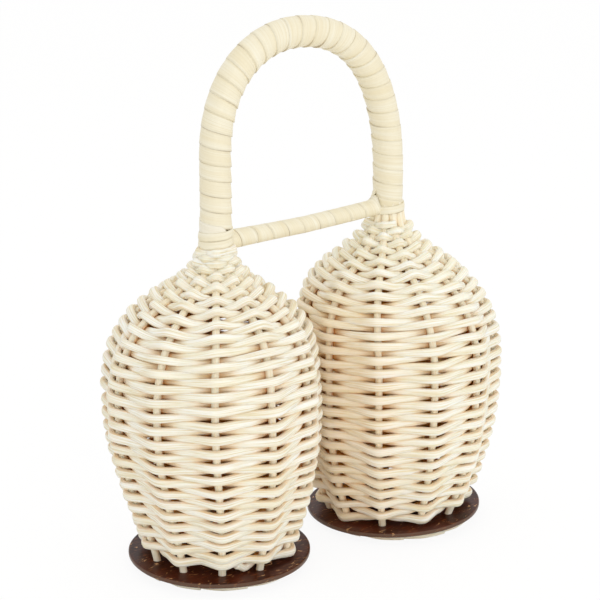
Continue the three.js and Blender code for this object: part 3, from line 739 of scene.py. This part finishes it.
crease_at = np.linspace(0, 2 * math.pi, REED_CORNERS, endpoint=False)
crease_shade = CREASE_SHADE * np.abs(np.sin(crease_at)) ** CREASE_SHADE_POWER


def crossing_under(s, side):
    """The odd crossing nearest to a place on the wall, where a reed's end is hidden behind a stake."""
    step = int(np.argmin(abs(row_s[side] - s)))
    return step + 1 - step % 2


for side in SIDES:
    nodes = [f"weaver_{side}_{i + 1}" for i in range(len(CUTS))] + [f"neck_coil_{side}"]
    ends = [FIRST_END] + [crossing_under(s, side) for s in CUTS] + [last_step[side]]
    for node, first, last in zip(nodes, ends, ends[1:]):
        rings = weaver_rings(side, first, last - END_GAP)
        hand_over(basket_reed(f"reed_{node}", rings, side, crease_shade), reed_finish[side], "weaver_reed", node)
    print(side, "weave:", nodes)

# %% [markdown]
# ## The stakes and the border
#
# The uprights are the same reed. Each comes up through a hole in the disc, follows the wall and ends
# under the binding at the neck. Below the disc it is bent flat and runs on under its neighbour, which
# locks the disc to the basket and makes the ring of pale feet that it stands on.

# %% Stakes
BORDER_SWEEP = math.radians(50)
BORDER_END = 0.10
BORDER_GAP = 0.1
BORDER_DRIFT = (2 * STAKE_RADIUS + BORDER_GAP) / STEP
BORDER_POINTS = 14
SHAVED_POINTS = 5
SHAVED_SHARE = 0.5
FOOT_HEIGHT = STAKE_RADIUS - 0.05
BEND_RUN = 0.8
BEND_LIFT = 0.4
BEND_TOP = DISC_BOTTOM + 0.6
BEND_POINTS = 7
RISE_POINTS = 64
STAKE_CORNERS = 12


def stake_line(side):
    """A stake at angle 0, from its shaved end in the border to its tip in the neck, and its radii."""
    sweep = np.linspace(BORDER_SWEEP, BORDER_END, BORDER_POINTS)
    run = FOOT_RADIUS + BORDER_DRIFT * sweep
    under = np.stack([run * np.cos(sweep), run * np.sin(sweep), np.full(BORDER_POINTS, FOOT_HEIGHT)], axis=-1)
    bend = [Vector(under[-1]), Vector((FOOT_RADIUS, BEND_RUN, FOOT_HEIGHT)),
            Vector((FOOT_RADIUS, 0, FOOT_HEIGHT + BEND_LIFT)), Vector((FOOT_RADIUS, 0, BEND_TOP))]
    bend = np.array([tuple(p) for p in interpolate_bezier(*bend, BEND_POINTS)[1:]])
    s = np.linspace(0, walls[side].length, RISE_POINTS)
    place, _ = walls[side].at(s)
    line = np.concatenate([under, bend, around(place, 0.0)])
    shaved = np.interp(np.arange(BORDER_POINTS), [0, SHAVED_POINTS],
                       [SHAVED_SHARE * STAKE_RADIUS, STAKE_RADIUS])
    radii = np.concatenate([shaved, np.full(BEND_POINTS - 1, STAKE_RADIUS), stake_radius(s, side)])
    return line, radii


for side in SIDES:
    line, radii = stake_line(side)
    for i in range(STAKES):
        angle = TURN[side] + i * STEP
        turned = line @ np.array(Matrix.Rotation(angle, 3, "Z")).T
        rings = carried_rings(turned, radii, STAKE_CORNERS, (0, 0, 1))
        node = f"stake_{side}_{i + 1:02d}"
        hand_over(basket_reed(f"reed_{node}", rings, side), stake_finish, "stake_reed", node)
print("stakes:", len(SIDES) * STAKES)

# %% [markdown]
# ## The coconut discs
#
# A disc is sawn from the shell, its rim rounded and its faces polished, and a ring of holes is drilled
# for the stakes. A short cylinder with a bevelled rim gives the form, a small wobble makes it less than
# round, and a Boolean with eleven pins drills it. The tilt of the right disc is a shear of its height.

# %% Discs
DISC_SEGMENTS = 144
RIM_ROUND = 0.6
RIM_SEGMENTS = 5
OVAL = 0.004
WAVY = 0.003
HOLE_RADIUS = STAKE_RADIUS + 0.25
PIN_SEGMENTS = 20
PIN_LENGTH = 12


def sawn_disc(side):
    """A disc round the basket's own axis, in millimetres."""
    middle = Matrix.Translation((0, 0, (DISC_BOTTOM + DISC_TOP) / 2))
    shape = bmesh.new()
    bmesh.ops.create_cone(shape, cap_ends=True, cap_tris=False, segments=DISC_SEGMENTS, radius1=DISC_RADIUS,
                          radius2=DISC_RADIUS, depth=DISC_TOP - DISC_BOTTOM, matrix=middle)
    rim = [e for e in shape.edges if abs(e.verts[0].co.z - e.verts[1].co.z) < 0.01]
    bmesh.ops.bevel(shape, geom=rim, offset=RIM_ROUND, offset_type="OFFSET", affect="EDGES",
                    segments=RIM_SEGMENTS, profile=0.5, material=-1)
    for vert in shape.verts:
        angle = math.atan2(vert.co.y, vert.co.x)
        wobble = 1 + OVAL * math.sin(2 * angle + 0.8 * SIDES[side]) + WAVY * math.sin(5 * angle + 2)
        vert.co.x *= wobble
        vert.co.y *= wobble
    for face in shape.faces:
        face.smooth = abs(face.normal.z) < 0.999
    return shape


def hole_pins(side):
    pins = bmesh.new()
    for i in range(STAKES):
        angle = TURN[side] + i * STEP
        place = Vector((FOOT_RADIUS * math.cos(angle), FOOT_RADIUS * math.sin(angle), DISC_BOTTOM))
        bmesh.ops.create_cone(pins, cap_ends=True, segments=PIN_SEGMENTS, radius1=HOLE_RADIUS,
                              radius2=HOLE_RADIUS, depth=PIN_LENGTH, matrix=Matrix.Translation(place))
    return pins


def drilled_disc(side):
    tip = Matrix.Identity(4)
    tip[2][0] = TILT[side] / DISC_RADIUS * math.cos(TILT_TOWARDS)
    tip[2][1] = TILT[side] / DISC_RADIUS * math.sin(TILT_TOWARDS)
    to_place = Matrix.Scale(MM, 4) @ Matrix.Translation((SIDES[side] * AXIS, 0, 0)) @ tip
    shape, pins = sawn_disc(side), hole_pins(side)
    for made in (shape, pins):
        bmesh.ops.transform(made, matrix=to_place, verts=made.verts[:])
    disc = as_piece(f"shell_disc_{side}", shape)
    cutter = as_piece(f"pins_{side}", pins)
    cut = disc.modifiers.new("holes", "BOOLEAN")
    cut.object = cutter
    cut.operation = "DIFFERENCE"
    cut.solver = "EXACT"
    drilled = bpy.data.meshes.new_from_object(disc.evaluated_get(bpy.context.evaluated_depsgraph_get()))
    disc.modifiers.clear()
    disc.data = drilled
    bpy.data.objects.remove(cutter)
    return disc


for side in SIDES:
    disc = hand_over(drilled_disc(side), shell_finish, "coconut_shell", f"base_disc_{side}")
    print(disc.name, len(disc.data.polygons), "faces")

# %% [markdown]
# ## The handle
#
# A bent core is bound with one long strip of flat cane. Two Bezier pieces draw its line: the left leg
# stands straight for longer, and the right half is the larger curve. The line runs on past both feet,
# because the core's thin ends sit among the gathered stakes.

# %% The handle's line
LEG_RADIUS = 5.3
CORE_FOOT = STAKE_TOP + 0.3
CROWN_SHIFT = -2.8
LEFT_STRAIGHT = 24.3
RIGHT_STRAIGHT = 9.4
LEFT_RISE = 25.4
LEFT_REACH = 19.2
RIGHT_REACH = 29.1
RIGHT_RISE = 29.8
ARCH_POINTS = 80
SPARE = 10

left_foot, right_foot = (Vector((NECK_X[side], 0, CORE_FOOT)) for side in ("left", "right"))
left_spring = Vector((left_foot.x, 0, CORE_FOOT + LEFT_STRAIGHT))
right_spring = Vector((right_foot.x, 0, CORE_FOOT + RIGHT_STRAIGHT))
crown = Vector(((NECK_X["left"] + NECK_X["right"]) / 2 + CROWN_SHIFT, 0, HANDLE_TOP - LEG_RADIUS))
halves = [
    (left_spring, left_spring + Vector((0, 0, LEFT_RISE)), crown - Vector((LEFT_REACH, 0, 0)), crown),
    (crown, crown + Vector((RIGHT_REACH, 0, 0)), right_spring + Vector((0, 0, RIGHT_RISE)), right_spring),
]
left_half, right_half = ([list(p) for p in interpolate_bezier(*half, ARCH_POINTS)] for half in halves)
below = Vector((0, 0, SPARE))
arch = np.array([left_foot - below, left_foot, *left_half, *right_half[1:], right_foot, right_foot - below])
arch_s = np.concatenate([[0], np.cumsum(np.linalg.norm(np.diff(arch, axis=0), axis=1))]) - SPARE
arch_along = unit(np.gradient(arch, arch_s, axis=0))
HANDLE_LENGTH = arch_s[-1] - SPARE


def handle_at(s):
    """Centre, outward direction and front direction of the handle, by length from the left foot."""
    centre = np.stack([np.interp(s, arch_s, arch[:, k]) for k in range(3)], axis=-1)
    along = unit(np.stack([np.interp(s, arch_s, arch_along[:, k]) for k in range(3)], axis=-1))
    out = np.stack([-along[..., 2], along[..., 1], along[..., 0]], axis=-1)
    front = np.broadcast_to(np.array([0.0, -1.0, 0.0]), out.shape)
    return centre, out, front


print(f"handle: {HANDLE_LENGTH:.0f} mm")

# %% [markdown]
# Each turn of the strip lies with its lower edge over the turn before, so the arch has some thirty low
# steps, each with a thin dark line, partly painted shade along the strip's edge. The strip is a grid wound
# round the handle's line, a little convex and tilted so that it laps, and Solidify gives it its thickness.

# %% A wound strip
STRIP_THICKNESS = 0.45
STRIP_COLUMNS = 7


def wound_strip(line_at, start, pitch, turns, width, radius, lap, camber, steps, hand, phase=0.0, teeth=0.0):
    """A strip wound round a line. Its lower edge is lifted by lap, and its middle by camber.

    The lap is larger on the inner side of a bend, by teeth.
    """
    q = np.linspace(0, turns, int(turns * steps) + 1)[:, None]
    w = np.linspace(-0.5, 0.5, STRIP_COLUMNS)[None, :]
    s = start + pitch * q + width(q / turns) * w
    angle = phase + hand * 2 * math.pi * q + 0 * w
    centre, out, front = line_at(s)
    spoke = np.cos(angle)[..., None] * out + np.sin(angle)[..., None] * front
    lapped = lap * (1 + teeth * np.clip(-np.cos(angle), 0, 1))
    lift = radius(s, angle) + lapped * (0.5 - w) + camber * (1 - 4 * w * w)
    return centre + lift[..., None] * spoke


def cane(name, rings):
    piece = rolled(name, rings, tube=False)
    solid = piece.modifiers.new("thickness", "SOLIDIFY")
    solid.thickness = STRIP_THICKNESS * MM
    solid.offset = -1
    return piece


print("strip:", STRIP_THICKNESS, "mm thick")

# %% Handle core and wrap
CORE_RADIUS = 4.1
CORE_END = 7.5
CORE_END_RADIUS = 2.6
CORE_RINGS = 180
CORE_CORNERS = 20
WRAP_TURNS = 31
WRAP_START = -1.2
WRAP_EXTRA_TURNS = 1.3
WRAP_OVERLAP = 0.9
WRAP_RADIUS = CORE_RADIUS + 0.68

s = np.linspace(-CORE_END, HANDLE_LENGTH + CORE_END, CORE_RINGS)
centre, _, _ = handle_at(s)
core_radii = np.where((s > 0) & (s < HANDLE_LENGTH), CORE_RADIUS, CORE_END_RADIUS)
core = rolled("reed_handle_core", carried_rings(centre, core_radii, CORE_CORNERS, (0, -1, 0)))
hand_over(core, stake_finish, "stake_reed", "handle_core")

wrap_pitch = HANDLE_LENGTH / WRAP_TURNS
rings = wound_strip(handle_at, WRAP_START, wrap_pitch, WRAP_TURNS + WRAP_EXTRA_TURNS,
                    width=lambda share: wrap_pitch + WRAP_OVERLAP, radius=lambda s, angle: WRAP_RADIUS,
                    lap=0.22, camber=0.03, steps=40, hand=-1, teeth=1.6)
hand_over(cane("cane_handle_wrap", rings), strip_finish, "cane_strip", "handle_wrap")
print(f"wrap: {WRAP_TURNS} turns at {wrap_pitch:.1f} mm")

# %% [markdown]
# The strip's free end lies over the first turn on the left leg. It has a round tip and shows its paler
# inner face.

# %% The strip's end on the left leg
TONGUE_START = 0.9
TONGUE_TURNS = 0.45
TONGUE_WIDTH = 4.7
TONGUE_RADIUS = CORE_RADIUS + 1.55
TONGUE_PHASE = math.radians(-63)
TIP_FROM = 0.82
TIP_LENGTH = 0.18
TIP_LAST = 0.179


def tongue_width(share):
    """Even, then round at the tip, which keeps a little width."""
    return TONGUE_WIDTH * np.sqrt(1 - (np.clip(share - TIP_FROM, 0, TIP_LAST) / TIP_LENGTH) ** 2)


rings = wound_strip(handle_at, TONGUE_START, -wrap_pitch, TONGUE_TURNS, width=tongue_width,
                    radius=lambda s, angle: TONGUE_RADIUS, lap=0, camber=0.06, steps=60, hand=1,
                    phase=TONGUE_PHASE)
tongue = hand_over(cane("cane_strip_end", rings), end_finish, "cane_strip")
print("strip end:", tongue.name)

# %% [markdown]
# ## The cross bar and the bindings
#
# The cross bar ties the two necks together. It bows a little, and it is wound with the same cane in ten
# turns that lie almost flat. At the far leg the strip climbs up the leg as a web.

# %% The cross bar's line
BAR_RADIUS = 2.0
BAR_INSET = 3.6
BAR_ENDS = (NECK_X["left"] + BAR_INSET, NECK_X["right"] - BAR_INSET)
BAR_LENGTH = BAR_ENDS[1] - BAR_ENDS[0]
BOW_AT = [0, 0.5, 0.8, 1]
BOW = [-2.0, -1.1, 0.2, 1.2]
BAR_WRAP_RADIUS = BAR_RADIUS + 0.95
NEAR_SWELL = 0.55
WEB_FROM = 0.925
WEB_HEIGHT = 10


def straight_at(centre, out):
    """A line's centre with one outward direction for all of it, and the front."""
    front = np.broadcast_to(np.array([0.0, -1.0, 0.0]), centre.shape)
    return centre, np.broadcast_to(np.array(out), centre.shape), front


def bar_at(s):
    share = (s - BAR_ENDS[0]) / BAR_LENGTH
    centre = np.stack([s, np.zeros_like(s), BAR_Z + np.interp(share, BOW_AT, BOW)], axis=-1)
    return straight_at(centre, (0.0, 0.0, 1.0))


def bar_radius(s, angle):
    """Thicker where it meets the near leg; at the far leg the strip climbs up the leg as a web."""
    share = np.clip((s - BAR_ENDS[0]) / BAR_LENGTH, 0, 1)
    climb = np.clip((share - WEB_FROM) / (1 - WEB_FROM), 0, 1) ** 2
    web = WEB_HEIGHT * climb * np.clip(np.cos(angle), 0, 1) ** 6
    return BAR_WRAP_RADIUS + NEAR_SWELL * (1 - share) ** 5 + web


print(f"cross bar: {BAR_LENGTH:.0f} mm")

# %% Cross bar and its wrap
BAR_RINGS = 40
BAR_CORNERS = 16
BAR_TURNS = 10
BAR_OVERLAP = 0.8
SLIT_AT = 0.213
SLIT_SPREAD = 0.014
SLIT_WIDTH = 1.5

bar_line, _, _ = bar_at(np.linspace(BAR_ENDS[0], BAR_ENDS[1], BAR_RINGS))
bar_rings = carried_rings(bar_line, np.full(BAR_RINGS, BAR_RADIUS), BAR_CORNERS, (0, -1, 0))
hand_over(rolled("reed_cross_bar", bar_rings), stake_finish, "stake_reed", "cross_bar")

bar_pitch = BAR_LENGTH / BAR_TURNS


def bar_strip_width(share):
    """Wide enough to lap, but for one turn where it pulled apart and left a slit."""
    return bar_pitch + BAR_OVERLAP - SLIT_WIDTH * np.exp(-((share - SLIT_AT) / SLIT_SPREAD) ** 2)


rings = wound_strip(bar_at, BAR_ENDS[0], bar_pitch, BAR_TURNS, width=bar_strip_width, radius=bar_radius,
                    lap=0.04, camber=0.0, steps=32, hand=1)
hand_over(cane("cane_cross_bar_wrap", rings), strip_finish, "cane_strip", "cross_bar_wrap")
print(f"bar wrap: {BAR_TURNS} turns at {bar_pitch:.1f} mm")

# %% [markdown]
# A narrow strip binds each neck where the stakes gather, above the weave. It takes two turns on the
# left neck and one on the right.

# %% Neck bindings
BINDING_RADIUS = 5.85
BINDING_WIDTH = 2.9
BINDING_OVERLAP = 0.1
BINDING_START = {"left": 117.25, "right": 119.45}
BINDING_TURNS = {"left": 2.04, "right": 1.06}
BEHIND = math.radians(-55)


def neck_at(side):
    def line_at(s):
        zero = np.zeros_like(s)
        return straight_at(np.stack([zero + NECK_X[side], zero, s], axis=-1), (1.0, 0.0, 0.0))
    return line_at


for side in SIDES:
    rings = wound_strip(neck_at(side), BINDING_START[side], BINDING_WIDTH, BINDING_TURNS[side],
                        width=lambda share: BINDING_WIDTH + BINDING_OVERLAP,
                        radius=lambda s, angle: BINDING_RADIUS,
                        lap=0.15, camber=0.25, steps=40, hand=-1, phase=BEHIND)
    binding = cane(f"cane_neck_binding_{side}", rings)
    hand_over(binding, strip_finish, "cane_strip", f"neck_binding_{side}")
print("bindings:", len(SIDES))

# %% [markdown]
# ## The seeds
#
# Five dried seeds lie on each disc. They hop when the caxixi is shaken, so each rides on its own body.
# A seed is a sphere drawn out and bent like a bean.

# %% Seeds
SEEDS = 5
SEED_HALF_LENGTH = 4.0
SEED_HALF_WIDTH = 2.6
SEED_BEND = 0.6

for side in SIDES:
    for i in range(1, SEEDS + 1):
        low, high = (Vector(v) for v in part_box(f"seed_{side}_{i}"))
        angle = TURN[side] + 2 * math.pi * (i - 1) / SEEDS + math.pi / 2
        shape = bmesh.new()
        bmesh.ops.create_uvsphere(shape, u_segments=24, v_segments=14, radius=1)
        for vert in shape.verts:
            x, y, z = vert.co
            bend = SEED_BEND / 2 - SEED_BEND * x ** 2
            vert.co = Vector((SEED_HALF_LENGTH * x, SEED_HALF_WIDTH * y + bend, SEED_HALF_WIDTH * z)) * MM
        for face in shape.faces:
            face.smooth = True
        place = Matrix.Translation((low + high) / 2) @ Matrix.Rotation(angle, 4, "Z")
        bmesh.ops.transform(shape, matrix=place, verts=shape.verts[:])
        seed = as_piece(f"dry_seed_{side}_{i}", shape)
        hand_over(seed, seed_finish, "seed", f"seed_{side}_{i}", body=f"loose_seed_{side}_{i}")
print("seeds:", len(SIDES) * SEEDS)
